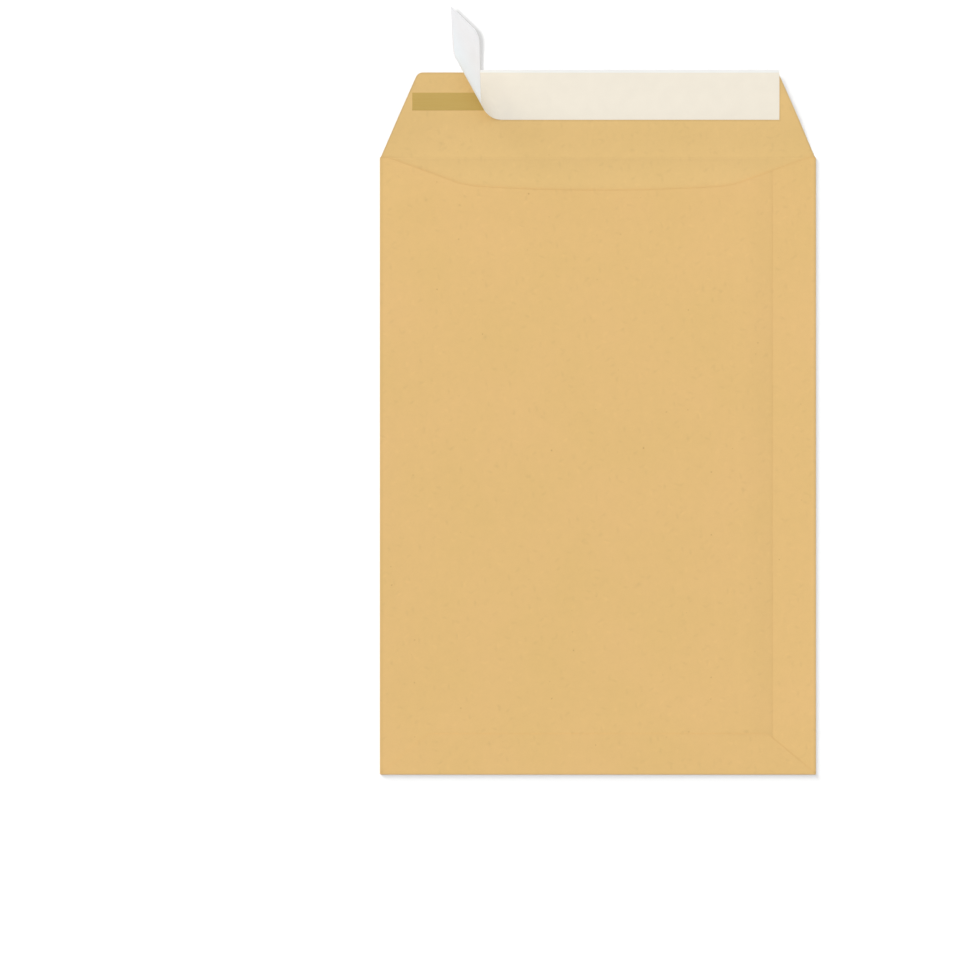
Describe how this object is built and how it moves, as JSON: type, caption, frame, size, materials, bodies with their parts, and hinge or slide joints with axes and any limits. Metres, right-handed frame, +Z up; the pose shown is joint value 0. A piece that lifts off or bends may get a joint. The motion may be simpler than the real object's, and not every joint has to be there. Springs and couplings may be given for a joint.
{
  "type": "paper envelope",
  "caption": "Self-seal pocket envelope in kraft paper with an address window, its closing flap open and the release liner part peeled.",
  "frame": {"origin": "middle of the front panel between its folds, on its outer face, which the envelope lies on", "axes": "+X across the envelope towards the side seam, +Y from the bottom fold towards the closing flap, +Z up out of the back panel"},
  "size_m": [0.229, 0.3886, 0.0468],
  "materials": {
    "kraft_paper": "matte",
    "clear_film": "gloss",
    "dried_glue": "satin",
    "adhesive": "satin",
    "liner_paper": "satin"
  },
  "bodies": {
    "root": {"paper_blank": "kraft_paper", "window_film": "clear_film", "window_glue": "dried_glue", "seam_glue": "dried_glue", "bottom_flap_glue": "dried_glue", "flap_adhesive": "adhesive", "release_liner": "liner_paper"}
  },
  "joints": []
}
